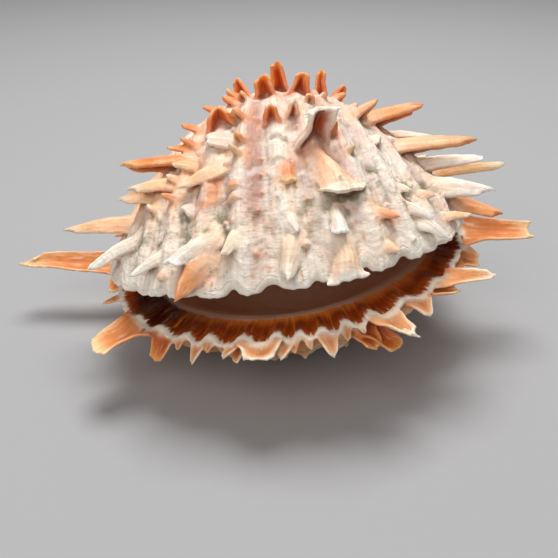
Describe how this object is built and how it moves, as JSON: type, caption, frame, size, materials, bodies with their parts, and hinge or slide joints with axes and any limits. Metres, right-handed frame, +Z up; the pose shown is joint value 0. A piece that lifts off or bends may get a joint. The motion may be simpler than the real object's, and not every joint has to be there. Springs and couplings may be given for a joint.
{
  "type": "spiny oyster shell",
  "caption": "Spiny oyster shell lying half open: a domed upper valve over a lower valve, both ribbed and covered in hollow-fronted spines, with a flat scar underneath where it grew on rock.",
  "frame": {"origin": "centre of the flat scar under the lower valve, where the shell grew on rock", "axes": "+X to the right along the width of the shell, -Y to the front, where the valves gape, +Y to the hinge, +Z up"},
  "size_m": [0.141, 0.0885, 0.0676],
  "materials": {
    "upper_shell": "matte cream shell with mauve bands, orange and chalk-white spines",
    "lower_shell": "matte orange shell with pale spine edges and a smooth porcelain lining"
  },
  "bodies": {
    "root": {"upper_valve": "upper_shell", "lower_valve": "lower_shell"}
  },
  "joints": []
}
